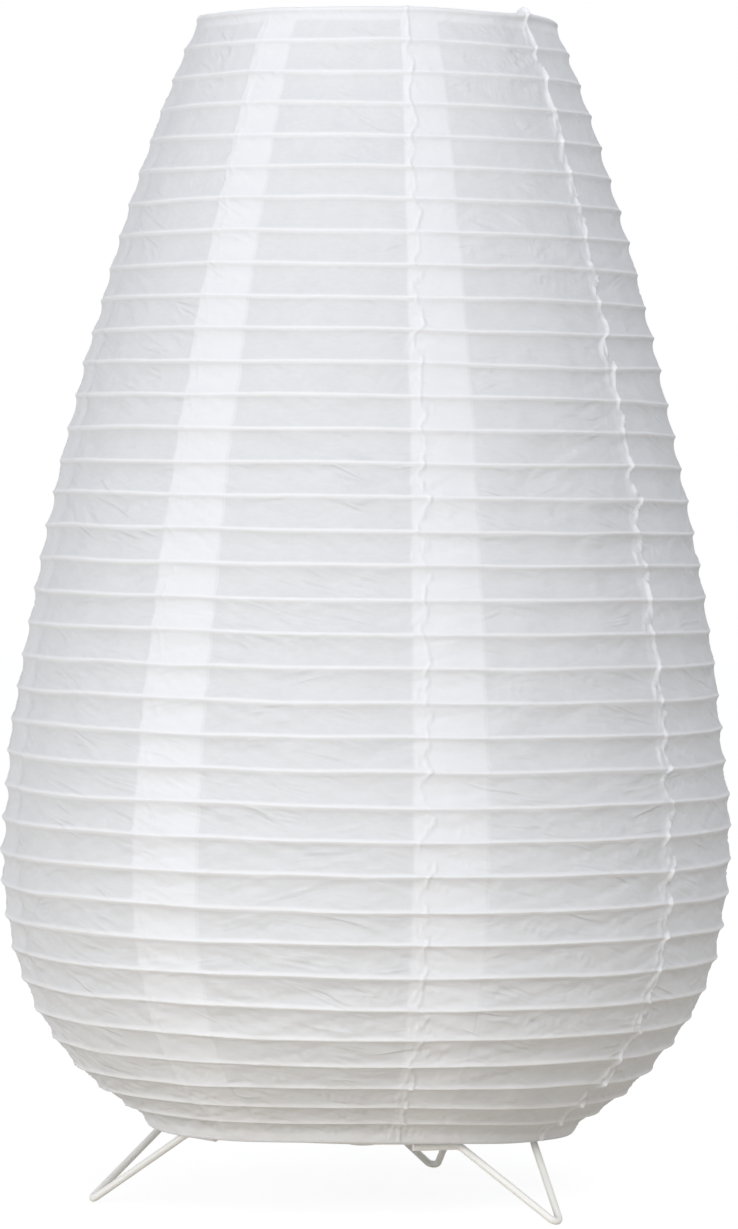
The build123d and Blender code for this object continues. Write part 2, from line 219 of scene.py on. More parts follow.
# %% Outline curve
hem_low, hem_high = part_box("hem_ring")
rim_low, rim_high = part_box("rim_ring")
hem_z = (hem_low[2] + hem_high[2]) / 2
rim_z = (rim_low[2] + rim_high[2]) / 2
hem_wire_r = (hem_high[2] - hem_low[2]) / 2
rim_wire_r = (rim_high[2] - rim_low[2]) / 2
hem_r = hem_high[0] - hem_wire_r
rim_r = rim_high[0] - rim_wire_r
# The paper's middle runs a little way off the wires, and four handles shape the outline
off_wire = 0.0003
hem_hold = hem_wire_r + off_wire
rim_hold = rim_wire_r + off_wire
hem_flare, rim_taper = math.radians(25), math.radians(22.6)
hem_wrap, rim_wrap = math.radians(130), math.radians(150)
belly = Vector((0.1805, hem_z + 0.1386))
hem_handle, belly_down, belly_up, rim_handle = 0.0145, 0.113, 0.064, 0.149


def on_ring(r, z, hold, angle):
    return Vector((r + hold * math.cos(angle), z + hold * math.sin(angle)))


def along(angle, length):
    return Vector((-math.sin(angle), math.cos(angle))) * length


def outline_points():
    # Each point is (place, handle behind, handle ahead)
    hem_arm = 4 / 3 * math.tan(hem_wrap / 8) * hem_hold
    rim_arm = 4 / 3 * math.tan(rim_wrap / 8) * rim_hold
    points = []
    for share in (1.0, 0.5, 0.0):
        angle = -hem_flare - share * hem_wrap
        place = on_ring(hem_r, hem_z, hem_hold, angle)
        ahead = hem_arm if share else hem_handle
        points.append((place, place - along(angle, hem_arm), place + along(angle, ahead)))
    points.append((belly, belly - Vector((0, belly_down)), belly + Vector((0, belly_up))))
    for share in (0.0, 0.5, 1.0):
        angle = rim_taper + share * rim_wrap
        place = on_ring(rim_r, rim_z, rim_hold, angle)
        behind = rim_arm if share else rim_handle
        points.append((place, place - along(angle, behind), place + along(angle, rim_arm)))
    return points


def outline_object(name):
    curve = bpy.data.curves.new(name, "CURVE")
    curve.dimensions = "3D"
    curve.resolution_u = 48
    spline = curve.splines.new("BEZIER")
    points = outline_points()
    spline.bezier_points.add(len(points) - 1)
    for knot, (place, behind, ahead) in zip(spline.bezier_points, points):
        knot.handle_left_type = knot.handle_right_type = "FREE"
        knot.co = (*place, 0)
        knot.handle_left = (*behind, 0)
        knot.handle_right = (*ahead, 0)
    made = bpy.data.objects.new(name, curve)
    bpy.context.collection.objects.link(made)
    return made


hem_turn = hem_wrap * hem_hold
rim_turn = rim_wrap * rim_hold
paper_length = outline_object("outline_probe").data.splines[0].calc_length() - hem_turn - rim_turn
bpy.data.objects.remove(bpy.data.objects["outline_probe"])
hoop_count = 35
spans = hoop_count + 1
print("paper from hem to rim, mm:", round(paper_length * 1000, 1),
      "span, mm:", round(paper_length / spans * 1000, 2))

# %% [markdown]
# ## Hand-made unevenness
# No hoop of a pasted lantern is quite level, and the hem's wire is a little bent: it stands
# higher at the front and back than at the sides. Each piece could be pushed about by itself,
# but then the paper would leave its wires. One node group moves any point of the shade by
# where the point is, and the hoops, the rings and the paper all use it.

# %% Wander group
hem_bend = 0.0018
hem_bend_reach = 0.060
hem_high_side = math.radians(-104)


def wander_group():
    tree = bpy.data.node_groups.new("hoop_wander", "GeometryNodeTree")
    tree.interface.new_socket("Position", in_out="INPUT", socket_type="NodeSocketVector")
    tree.interface.new_socket("Position", in_out="OUTPUT", socket_type="NodeSocketVector")
    start = add(tree, "NodeGroupInput")
    # Waves about 90 mm long round the hoop, different on each hoop
    scaled = add(tree, "ShaderNodeVectorMath", {
        0: start.outputs[0], 1: (1 / 0.09, 1 / 0.09, 1 / 0.03)}, operation="MULTIPLY")
    noise = add(tree, "ShaderNodeTexNoise", {"Vector": scaled, "Scale": 1.0, "Detail": 1.0})
    level = add(tree, "ShaderNodeVectorMath", {
        0: noise.outputs["Color"], 1: (0.5, 0.5, 0.5)}, operation="SUBTRACT")
    move = add(tree, "ShaderNodeVectorMath", {
        0: level, 1: (0.0020, 0.0020, 0.0036)}, operation="MULTIPLY")
    # The bend is the cosine of twice the angle from the hem's high side
    turned = add(tree, "ShaderNodeVectorRotate", {
        "Vector": start.outputs[0], "Angle": -hem_high_side}, rotation_type="Z_AXIS")
    place = add(tree, "ShaderNodeSeparateXYZ", {0: turned})
    along_high = add(tree, "ShaderNodeMath", {0: place.outputs[0], 1: 2.0}, operation="POWER")
    along_low = add(tree, "ShaderNodeMath", {0: place.outputs[1], 1: 2.0}, operation="POWER")
    top = add(tree, "ShaderNodeMath", {0: along_high, 1: along_low}, operation="SUBTRACT")
    under = add(tree, "ShaderNodeMath", {0: along_high, 1: along_low}, operation="ADD")
    twice = add(tree, "ShaderNodeMath", {0: top, 1: under}, operation="DIVIDE")
    bend = add(tree, "ShaderNodeMapRange", {
        0: place.outputs[2], 1: hem_z, 2: hem_z + hem_bend_reach, 3: hem_bend, 4: 0.0},
        interpolation_type="SMOOTHSTEP")
    lift = add(tree, "ShaderNodeMath", {0: twice, 1: bend}, operation="MULTIPLY")
    lifted = add(tree, "ShaderNodeVectorMath", {
        0: move, 1: add(tree, "ShaderNodeCombineXYZ", {2: lift})}, operation="ADD")
    moved = add(tree, "ShaderNodeVectorMath", {0: start.outputs[0], 1: lifted}, operation="ADD")
    add(tree, "NodeGroupOutput", {0: moved})
    return tree


wander = wander_group()
print("made", wander.name)

# %% [markdown]
# ## Paper panels
# The panels could be a cloth simulation over the hoops, but its folds couldn't be placed. One
# node tree makes every panel by rule instead. It lays a flat grid, reads the outline at each
# row and swings the point round to its column's angle. Then it moves the point in or out: the
# paper hangs in below each hoop, folds aslant from hoop to hoop, rises where it laps over the
# next panel, puckers along the lap's pasted edge, and doubles over at the rim and the hem.
# Each of the next functions adds one of these, and `at` holds the sockets that they share.

# %% Rows and columns of a panel
rim_rows, span_rows, columns = 12, 14, 187
# Column where the lap starts, on a grid from -0.5 to 0.5, and the lowest row's place in spans
lap_start, first_row = 0.17, 0.11
# How strongly the rows are drawn to the hoops, from 0 to 1
row_pull = 0.62


def lay_panel(tree, given):
    at = SimpleNamespace()
    rows = rim_rows + span_rows * spans
    at.grid = add(tree, "GeometryNodeMeshGrid", {
        "Size X": 1.0, "Size Y": 1.0, "Vertices X": columns, "Vertices Y": rows + 1})
    place = add(tree, "ShaderNodeSeparateXYZ", {0: add(tree, "GeometryNodeInputPosition")})
    # Angle of each column: two thirds of the columns on the panel, a third on its lap
    at.on_panel = add(tree, "ShaderNodeMapRange", {
        0: place.outputs[0], 1: -0.5, 2: lap_start, 3: 0.0, 4: given["Panel angle"]})
    at.on_lap = add(tree, "ShaderNodeMapRange", {
        0: place.outputs[0], 1: lap_start, 2: 0.5, 3: 0.0, 4: given["Lap angle"]})
    swing = add(tree, "ShaderNodeMath", {0: at.on_panel, 1: at.on_lap}, operation="ADD")
    at.from_lap = add(tree, "ShaderNodeMath", {
        0: swing, 1: given["Panel angle"]}, operation="SUBTRACT")
    at.after_lap = add(tree, "ShaderNodeMath", {
        0: at.on_panel, 1: given["Lap angle"]}, operation="SUBTRACT")
    at.to_free_edge = add(tree, "ShaderNodeMath", {
        0: given["Lap angle"], 1: at.on_lap}, operation="SUBTRACT")
    at.angle = add(tree, "ShaderNodeMath", {0: swing, 1: given["Start angle"]}, operation="ADD")
    # Length along the outline of each row, with rows drawn together at the hoops
    top_row = 0.5 - rim_rows / rows
    even = add(tree, "ShaderNodeMapRange", {
        0: place.outputs[1], 1: -0.5, 2: top_row, 3: first_row, 4: given["Spans"]})
    wave = add(tree, "ShaderNodeMath", {0: even, 1: 2 * math.pi}, operation="MULTIPLY")
    pull = add(tree, "ShaderNodeMath", {0: add(tree, "ShaderNodeMath", {
        0: wave}, operation="SINE"), 1: row_pull / (2 * math.pi)}, operation="MULTIPLY")
    at.span = add(tree, "ShaderNodeMath", {0: even, 1: pull}, operation="SUBTRACT")
    in_rim = add(tree, "ShaderNodeMapRange", {
        0: place.outputs[1], 1: top_row, 2: 0.5, 3: 0.0, 4: given["Rim turn"]})
    at.pitch = add(tree, "ShaderNodeMath", {
        0: given["Paper length"], 1: given["Spans"]}, operation="DIVIDE")
    in_paper = add(tree, "ShaderNodeMath", {0: at.span, 1: at.pitch}, operation="MULTIPLY")
    turns = add(tree, "ShaderNodeMath", {0: given["Hem turn"], 1: in_rim}, operation="ADD")
    at.length = add(tree, "ShaderNodeMath", {0: turns, 1: in_paper}, operation="ADD")
    return at


# %% A panel's place on the outline
def follow_outline(tree, given, at):
    outline = add(tree, "GeometryNodeSampleCurve", {
        "Curves": given["Geometry"], "Length": at.length}, mode="LENGTH")
    spot = add(tree, "ShaderNodeSeparateXYZ", {0: outline.outputs["Position"]})
    way = add(tree, "ShaderNodeSeparateXYZ", {0: outline.outputs["Tangent"]})
    at.radius, at.height = spot.outputs[0], spot.outputs[1]
    at.way_out, at.way_up = way.outputs[0], way.outputs[1]
    # Lowness is 0 near the rim and 1 near the hem
    at.lowness = add(tree, "ShaderNodeMapRange", {0: at.height, 1: 0.06, 2: 0.50, 3: 1.0, 4: 0.0})
    # Map of the sheet in metres, round by up, and the same point in space for soft noise
    at.round_m = add(tree, "ShaderNodeMath", {0: at.angle, 1: belly.x}, operation="MULTIPLY")
    at.sheet = add(tree, "ShaderNodeCombineXYZ", {0: at.round_m, 1: at.length})
    at.on_skin = add(tree, "ShaderNodeVectorRotate", {
        "Vector": add(tree, "ShaderNodeCombineXYZ", {0: at.radius, 2: at.height}),
        "Angle": at.angle}, rotation_type="Z_AXIS")
    # u runs from one hoop up to the next, and hollow is 1 midway and 0 at the hoops
    at.floor_span = add(tree, "ShaderNodeMath", {0: at.span}, operation="FLOOR")
    at.u = add(tree, "ShaderNodeMath", {0: at.span}, operation="FRACT")
    at.left = add(tree, "ShaderNodeMath", {0: 1.0, 1: at.u}, operation="SUBTRACT")
    middle = add(tree, "ShaderNodeMath", {0: at.u, 1: at.left}, operation="MULTIPLY")
    at.hollow = add(tree, "ShaderNodeMath", {0: middle, 1: 4.0}, operation="MULTIPLY")


# %% [markdown]
# The paper hangs in most just below a hoop. Loose paper at the belly hangs in most of all, and
# more evenly than the taut paper at the top. Over a hoop's wire it stands proud as a rib.

# %% Sag and ribs
def sag_and_ribs(tree, given, at):
    skew = add(tree, "ShaderNodeMapRange", {0: at.lowness, 3: 2.0, 4: 1.3})
    slack_up = add(tree, "ShaderNodeMapRange", {0: at.lowness, 3: 10.6, 4: 14.4})
    slack_down = add(tree, "ShaderNodeMapRange", {0: at.lowness, 1: 0.70, 2: 1.0, 3: 14.6, 4: 8.6})
    loose = add(tree, "ShaderNodeMath", {0: slack_up, 1: slack_down}, operation="MINIMUM")
    rise_up = add(tree, "ShaderNodeMath", {0: at.u, 1: skew}, operation="POWER")
    drop_off = add(tree, "ShaderNodeMath", {0: at.left, 1: 1.2}, operation="POWER")
    sag = rise_up
    for part in (drop_off, loose, given["Sag"]):
        sag = add(tree, "ShaderNodeMath", {0: sag, 1: part}, operation="MULTIPLY")
    # Ribs are wider and higher low on the shade
    from_hoop = add(tree, "ShaderNodeMath", {0: add(tree, "ShaderNodeMath", {
        0: at.span, 1: 0.5}, operation="PINGPONG"), 1: at.pitch}, operation="MULTIPLY")
    rib_width = add(tree, "ShaderNodeMath", {0: add(tree, "ShaderNodeMapRange", {
        0: at.lowness, 1: 0.5, 2: 1.0, 3: 1.0, 4: 1.25}), 1: given["Rib width"]},
        operation="MULTIPLY")
    at.share = add(tree, "ShaderNodeMath", {0: from_hoop, 1: rib_width}, operation="DIVIDE")
    square = add(tree, "ShaderNodeMath", {0: at.share, 1: 2.0}, operation="POWER")
    on_wire = add(tree, "ShaderNodeMath", {0: add(tree, "ShaderNodeMath", {
        0: square, 1: -1.0}, operation="MULTIPLY")}, operation="EXPONENT")
    proud = add(tree, "ShaderNodeMath", {0: add(tree, "ShaderNodeMapRange", {
        0: at.lowness, 1: 0.6, 2: 1.0, 3: 1.0, 4: 1.6}), 1: given["Rib height"]},
        operation="MULTIPLY")
    rib = add(tree, "ShaderNodeMath", {0: add(tree, "ShaderNodeMath", {
        0: on_wire, 1: 1.0}, operation="SUBTRACT"), 1: proud}, operation="MULTIPLY")
    # Above the hem the paper leaves its ring in a straight line, without a rib
    off_hem = add(tree, "ShaderNodeMapRange", {
        0: at.span, 1: 0.0, 2: 0.5, 3: 0.0, 4: 1.0}, interpolation_type="SMOOTHSTEP")
    rib = add(tree, "ShaderNodeMath", {0: rib, 1: off_hem}, operation="MULTIPLY")
    return add(tree, "ShaderNodeMath", {0: rib, 1: sag}, operation="SUBTRACT")


# %% [markdown]
# Between the hoops the paper swells softly and has straight creases aslant, some that fall to
# the right and some to the left. They come in patches about 40 mm across, more of them low on
# the shade. Where the next panel is pasted over it and along the lap's free edge, the paper is
# held flat.

# %% Billow and folds
def billow_and_folds(tree, given, at):
    soft = add(tree, "ShaderNodeTexNoise", {
        "Vector": at.on_skin, "Scale": 1 / 0.030, "Detail": 2.0})
    swell = add(tree, "ShaderNodeMapRange", {0: soft.outputs[0], 1: 0.3, 2: 0.7, 3: -0.5, 4: 0.5})
    swell = add(tree, "ShaderNodeMath", {0: swell, 1: given["Billow"]}, operation="MULTIPLY")
    up_span = add(tree, "ShaderNodeMath", {0: at.u, 1: at.pitch}, operation="MULTIPLY")
    bias = add(tree, "ShaderNodeMapRange", {0: at.lowness, 3: -0.10, 4: 0.10})
    folds = 0.0
    for slant, shift, gap in ((3.0, 7.31, 0.024), (-4.0, 3.77, 0.030)):
        across = add(tree, "ShaderNodeMath", {
            0: up_span, 1: slant, 2: at.round_m}, operation="MULTIPLY_ADD")
        across = add(tree, "ShaderNodeMath", {0: across, 1: 1 / gap}, operation="MULTIPLY")
        across = add(tree, "ShaderNodeMath", {
            0: at.floor_span, 1: shift, 2: across}, operation="MULTIPLY_ADD")
        bowed = add(tree, "ShaderNodeMath", {
            0: soft.outputs[0], 1: 1.6, 2: across}, operation="MULTIPLY_ADD")
        lines = add(tree, "ShaderNodeTexNoise", {
            "W": bowed, "Scale": 1.0, "Detail": 1.0}, noise_dimensions="1D")
        off_line = add(tree, "ShaderNodeMath", {0: add(tree, "ShaderNodeMath", {
            0: lines.outputs[0], 1: 0.5}, operation="SUBTRACT")}, operation="ABSOLUTE")
        crease = add(tree, "ShaderNodeMapRange", {
            0: off_line, 1: 0.0, 2: 0.13, 3: 1.0, 4: 0.0}, interpolation_type="SMOOTHSTEP")
        apart = add(tree, "ShaderNodeVectorMath", {
            0: at.on_skin, 1: (shift, 0.0, 0.0)}, operation="ADD")
        patch = add(tree, "ShaderNodeTexNoise", {
            "Vector": apart, "Scale": 1 / 0.040, "Detail": 1.0})
        often = add(tree, "ShaderNodeMath", {0: patch.outputs[0], 1: bias}, operation="ADD")
        often = add(tree, "ShaderNodeMapRange", {
            0: often, 1: 0.40, 2: 0.62, 3: 0.0, 4: given["Fold height"]})
        folds = add(tree, "ShaderNodeMath", {
            0: crease, 1: often, 2: folds}, operation="MULTIPLY_ADD")
    bare = add(tree, "ShaderNodeMapRange", {
        0: at.after_lap, 1: 0.0, 2: math.radians(2), 3: 0.0, 4: 1.0})
    held = add(tree, "ShaderNodeMapRange", {
        0: at.to_free_edge, 1: 0.0, 2: math.radians(4), 3: 0.0, 4: 1.0})
    for part in (bare, held):
        folds = add(tree, "ShaderNodeMath", {0: folds, 1: part}, operation="MULTIPLY")
    free = add(tree, "ShaderNodeMath", {0: swell, 1: folds}, operation="ADD")
    return add(tree, "ShaderNodeMath", {0: free, 1: at.hollow}, operation="MULTIPLY")


# %% [markdown]
# The lap steps up over the next panel's edge. A little way into it, the paste has drawn the
# paper into a wandering ridge, with a short second one beside it in some of the spans.

# %% Lap and puckers
ridge_width = 0.0009
ridge_parting = 0.0055


def lap_and_puckers(tree, given, at):
    rise = add(tree, "ShaderNodeMapRange", {
        0: at.on_lap, 1: 0.0, 2: math.radians(0.5), 3: 0.0, 4: given["Lap rise"]},
        interpolation_type="SMOOTHSTEP")
    jag = add(tree, "ShaderNodeTexNoise", {
        "W": add(tree, "ShaderNodeMath", {0: at.length, 1: 1 / 0.0125}, operation="MULTIPLY"),
        "Scale": 1.0, "Detail": 1.0}, noise_dimensions="1D")
    track = add(tree, "ShaderNodeMapRange", {
        0: jag.outputs[0], 1: 0.25, 2: 0.75, 3: math.radians(1.2), 4: math.radians(3.6)})
    at.aside = add(tree, "ShaderNodeMath", {0: add(tree, "ShaderNodeMath", {
        0: at.from_lap, 1: track}, operation="SUBTRACT"), 1: at.radius}, operation="MULTIPLY")
    chance = add(tree, "ShaderNodeTexWhiteNoise", {"W": at.floor_span}, noise_dimensions="1D")
    leaning = add(tree, "ShaderNodeMath", {
        0: chance.outputs[0], 1: 0.5}, operation="GREATER_THAN")
    parting = add(tree, "ShaderNodeMath", {0: add(tree, "ShaderNodeMath", {
        0: at.u, 1: leaning}, operation="SUBTRACT")}, operation="ABSOLUTE")
    beside_it = add(tree, "ShaderNodeMath", {
        0: parting, 1: ridge_parting, 2: at.aside}, operation="MULTIPLY_ADD")
    strength = add(tree, "ShaderNodeTexNoise", {
        "W": add(tree, "ShaderNodeMath", {0: at.length, 1: 1 / 0.014}, operation="MULTIPLY"),
        "Scale": 1.0, "Detail": 1.0}, noise_dimensions="1D")
    firm = add(tree, "ShaderNodeMapRange", {
        0: strength.outputs[0], 1: 0.3, 2: 0.6, 3: 0.6, 4: 1.2})
    slack = add(tree, "ShaderNodeMapRange", {
        0: chance.outputs[0], 1: 0.2, 2: 0.9, 3: 0.0, 4: 0.9})
    slack = add(tree, "ShaderNodeMath", {0: slack, 1: at.hollow}, operation="MULTIPLY")
    pucker = 0.0
    for off_ridge, size in ((at.aside, firm), (beside_it, slack)):
        narrow = add(tree, "ShaderNodeMath", {0: off_ridge, 1: ridge_width}, operation="DIVIDE")
        narrow = add(tree, "ShaderNodeMath", {0: narrow, 1: 2.0}, operation="POWER")
        narrow = add(tree, "ShaderNodeMath", {0: add(tree, "ShaderNodeMath", {
            0: narrow, 1: -1.0}, operation="MULTIPLY")}, operation="EXPONENT")
        pucker = add(tree, "ShaderNodeMath", {
            0: narrow, 1: size, 2: pucker}, operation="MULTIPLY_ADD")
    at.pucker = add(tree, "ShaderNodeMath", {
        0: pucker, 1: given["Pucker height"]}, operation="MULTIPLY")
    return add(tree, "ShaderNodeMath", {0: rise, 1: at.pucker}, operation="ADD")


# %% Turned edges and knot
knot_width, knot_length, knot_above_rim = 0.0052, 0.0030, 0.0020
edge_layer = 0.0002


def turned_edges_and_knot(tree, given, at):
    # The lap's end bunched up on the rim
    rim_at = add(tree, "ShaderNodeMath", {
        0: given["Hem turn"], 1: given["Paper length"]}, operation="ADD")
    to_rim = add(tree, "ShaderNodeMath", {0: at.length, 1: rim_at}, operation="SUBTRACT")
    above = add(tree, "ShaderNodeMath", {0: to_rim, 1: knot_above_rim}, operation="SUBTRACT")
    bunch = 0.0
    for off_knot, size in ((at.aside, knot_width), (above, knot_length)):
        off = add(tree, "ShaderNodeMath", {0: off_knot, 1: size}, operation="DIVIDE")
        bunch = add(tree, "ShaderNodeMath", {0: add(tree, "ShaderNodeMath", {
            0: off, 1: 2.0}, operation="POWER"), 1: bunch}, operation="ADD")
    bunch = add(tree, "ShaderNodeMath", {0: add(tree, "ShaderNodeMath", {
        0: bunch, 1: -1.0}, operation="MULTIPLY")}, operation="EXPONENT")
    bunch = add(tree, "ShaderNodeMath", {0: bunch, 1: given["Knot height"]}, operation="MULTIPLY")
    # A second layer for a few millimetres below the rim and above the hem
    to_hem = add(tree, "ShaderNodeMath", {0: given["Hem turn"], 1: at.length}, operation="SUBTRACT")
    to_edge = add(tree, "ShaderNodeMath", {0: to_rim, 1: to_hem}, operation="MAXIMUM")
    to_edge = add(tree, "ShaderNodeMath", {0: to_edge, 1: given["Turned edge"]}, operation="ADD")
    at.edge = add(tree, "ShaderNodeMapRange", {
        0: to_edge, 1: 0.0, 2: 0.0005, 3: 0.0, 4: 1.0}, interpolation_type="SMOOTHSTEP")
    return add(tree, "ShaderNodeMath", {
        0: at.edge, 1: edge_layer, 2: bunch}, operation="MULTIPLY_ADD")


# %% [markdown]
# Paper looks paler where something lies behind it: a second layer in the laps and turned edges,
# gathered paper in a pucker, or the wire at a hoop. Along each hoop the paler line is also a
# painted highlight on the rib. That share is kept on the mesh as an attribute that the paper's
# material reads.

# %% Backing behind the paper, and painted rib highlights
pucker_backed, edge_backed = 0.55, 0.6


def backing(tree, given, at):
    strip = add(tree, "ShaderNodeMapRange", {
        0: at.aside, 1: -0.0005, 2: 0.0005, 3: given["Edge backing"], 4: given["Flap backing"]})
    begun = add(tree, "ShaderNodeMapRange", {
        0: at.from_lap, 1: 0.0, 2: math.radians(0.6), 3: 0.0, 4: 1.0})
    ended = add(tree, "ShaderNodeMapRange", {
        0: at.to_free_edge, 1: 0.0, 2: math.radians(0.5), 3: 0.3, 4: 1.0})
    faint = add(tree, "ShaderNodeMapRange", {0: at.lowness, 1: 0.55, 2: 1.0, 3: 1.0, 4: 0.8})
    flap = strip
    for part in (begun, ended, faint):
        flap = add(tree, "ShaderNodeMath", {0: flap, 1: part}, operation="MULTIPLY")
    under = add(tree, "ShaderNodeMath", {0: at.after_lap, 1: 0.0}, operation="LESS_THAN")
    pale_share = add(tree, "ShaderNodeMath", {0: flap, 1: under}, operation="MAXIMUM")
    # Along each hoop: paler over the wire, and partly a painted highlight on the rib
    hoop_backing_and_highlight = add(tree, "ShaderNodeMapRange", {
        0: at.share, 1: 0.6, 2: 1.5, 3: 1.0, 4: 0.0}, interpolation_type="SMOOTHSTEP")
    pinched = add(tree, "ShaderNodeMapRange", {
        0: at.pucker, 1: 0.0002, 2: 0.0012, 3: 0.0, 4: 1.0})
    for part, most in ((hoop_backing_and_highlight, 1.0), (pinched, pucker_backed), (at.edge, edge_backed)):
        part = add(tree, "ShaderNodeMath", {0: part, 1: most}, operation="MULTIPLY")
        pale_share = add(tree, "ShaderNodeMath", {0: pale_share, 1: part}, operation="MAXIMUM")
    return pale_share


# %% Panel tree
def panel_tree():
    tree, given = start_tree("paper_panel", (
        ("Start angle", 0.0), ("Panel angle", math.radians(45)), ("Lap angle", math.radians(12)),
        ("Hem turn", hem_turn), ("Paper length", paper_length), ("Rim turn", rim_turn),
        ("Spans", float(spans)), ("Sag", 0.00093), ("Rib height", 0.0006), ("Rib width", 0.00105),
        ("Lap rise", 0.00015), ("Flap backing", 0.45), ("Edge backing", 0.45),
        ("Pucker height", 0.0007), ("Knot height", 0.0), ("Billow", 0.0008),
        ("Fold height", 0.00065), ("Turned edge", 0.0055)), "Paper")
    at = lay_panel(tree, given)
    follow_outline(tree, given, at)
    # Add the moves up and go out square to the outline by their sum
    out = sag_and_ribs(tree, given, at)
    for move in (billow_and_folds, lap_and_puckers, turned_edges_and_knot):
        out = add(tree, "ShaderNodeMath", {0: out, 1: move(tree, given, at)}, operation="ADD")
    wide = add(tree, "ShaderNodeMath", {
        0: out, 1: at.way_up, 2: at.radius}, operation="MULTIPLY_ADD")
    down = add(tree, "ShaderNodeMath", {0: out, 1: at.way_out}, operation="MULTIPLY")
    tall = add(tree, "ShaderNodeMath", {0: at.height, 1: down}, operation="SUBTRACT")
    swung = add(tree, "ShaderNodeVectorRotate", {
        "Vector": add(tree, "ShaderNodeCombineXYZ", {0: wide, 2: tall}),
        "Angle": at.angle}, rotation_type="Z_AXIS")
    uneven = add(tree, "GeometryNodeGroup", {}, node_tree=wander)
    tree.links.new(swung.outputs[0], uneven.inputs[0])
    mapped = add(tree, "GeometryNodeStoreNamedAttribute", {
        "Geometry": at.grid, "Name": "paper_map", "Value": at.sheet},
        data_type="FLOAT2", domain="CORNER")
    layered = add(tree, "GeometryNodeStoreNamedAttribute", {
        "Geometry": mapped, "Name": "paleness", "Value": backing(tree, given, at)},
        data_type="FLOAT", domain="POINT")
    bent = add(tree, "GeometryNodeSetPosition", {"Geometry": layered, "Position": uneven})
    end_tree(tree, bent, given["Paper"])
    return tree


panels = panel_tree()
print("made", panels.name, "with", len(panels.nodes), "nodes")


# %% From a node tree to a plain mesh
def made_mesh(source, tree, name, **values):
    # Run a tree on an object and keep the result as a plain mesh object
    sockets = {s.name: s.identifier for s in tree.interface.items_tree if s.in_out == "INPUT"}
    modifier = source.modifiers.new("maker", "NODES")
    modifier.node_group = tree
    for key, value in values.items():
        modifier[sockets[key.replace("_", " ")]] = value
    ready = source.evaluated_get(bpy.context.evaluated_depsgraph_get())
    mesh = bpy.data.meshes.new_from_object(ready)
    mesh.name = name
    source.modifiers.remove(modifier)
    bpy.data.objects.remove(source)
    made = bpy.data.objects.new(name, mesh)
    bpy.context.collection.objects.link(made)
    return made


# %% [markdown]
# The eight panels differ in how their laps came out. How pale each lap is also holds painted light:
# the laps facing the lamps are painted paler, and the front-right lap, in grazing light, is painted
# least pale. The lap that faces front right has the strongest puckers, and its end is a knot on the
# rim.

# %% Eight panels
# The laps stand 7.2 degrees behind the eighths of a turn, and the hem can rise by 485 mm
lap_lead = 7.2
pucker_heights = [0.0004, 0.0003, 0.0007, 0.0003, 0.00025, 0.0006, 0.0017, 0.0003]
# Beyond the second layer's own paleness, these values are painted light: paler laps where the lamps
# face them, the least pale one in grazing light at front right
flap_backing = [0.45, 0.45, 0.45, 0.4, 0.62, 0.66, 0.25, 0.4]
edge_backing = [0.45, 0.45, 0.45, 0.4, 0.66, 0.72, 0.4, 0.4]
knot_heights = [0.0, 0.0006, 0.0, 0.0, 0.0, 0.0, 0.0015, 0.0]
for index in range(8):
    panel = made_mesh(
        outline_object(f"outline_{index + 1}"), panels, f"panel_{index + 1}",
        Start_angle=math.radians(45 * index - lap_lead),
        Flap_backing=flap_backing[index],
        Edge_backing=edge_backing[index],
        Pucker_height=pucker_heights[index],
        Knot_height=knot_heights[index],
        Paper=paper,
    )
    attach(panel, "shade")
    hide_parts(f"paper_{index + 1}")
    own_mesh(panel)
    area = sum(face.area for face in panel.data.polygons)
    print(panel.name, len(panel.data.polygons), "faces, area in square metres", round(area, 4))

# %% [markdown]
# ## Hoops
# Thirty-five closed hoops of thin coated wire carry the paper. They could be a spiral, as in
# some lanterns, but the ribs of this one meet level all round, so they are circles. Points
# along the outline give each hoop its radius and height, a circle is placed at each, and the
# circles become wire.

# %% Coated wire material
def coated_wire(name, code, roughness):
    # Powder coat on steel wire: satin, with a faint orange peel about 0.8 mm across
    material, tree = new_material(name)
    place = add(tree, "ShaderNodeTexCoord").outputs["Object"]
    tone = add(tree, "ShaderNodeTexNoise", {"Vector": place, "Scale": 1 / 0.030, "Detail": 3.0})
    peel = add(tree, "ShaderNodeTexNoise", {"Vector": place, "Scale": 1 / 0.0008, "Detail": 2.0})
    deep = [0.9 * c for c in linear(code)[:3]] + [1.0]
    colour = add(tree, "ShaderNodeMix", {
        "Factor": tone.outputs[0], 6: deep, 7: linear(code)}, data_type="RGBA")
    bump = add(tree, "ShaderNodeBump", {
        "Height": peel.outputs[0], "Strength": 0.15, "Distance": 0.0002})
    shine = add(tree, "ShaderNodeMapRange", {
        0: tone.outputs[0], 3: roughness - 0.06, 4: roughness + 0.06})
    coat = add(tree, "ShaderNodeBsdfPrincipled", {
        "Base Color": colour.outputs[2], "Roughness": shine, "IOR": 1.5, "Normal": bump})
    add(tree, "ShaderNodeOutputMaterial", {"Surface": coat})
    return material


white_wire = coated_wire("powder_coated_wire", "#F1F1EE", 0.38)
hoop_wire = coated_wire("hoop_wire", "#E6E6E2", 0.5)
print("made", white_wire.name, "and", hoop_wire.name)


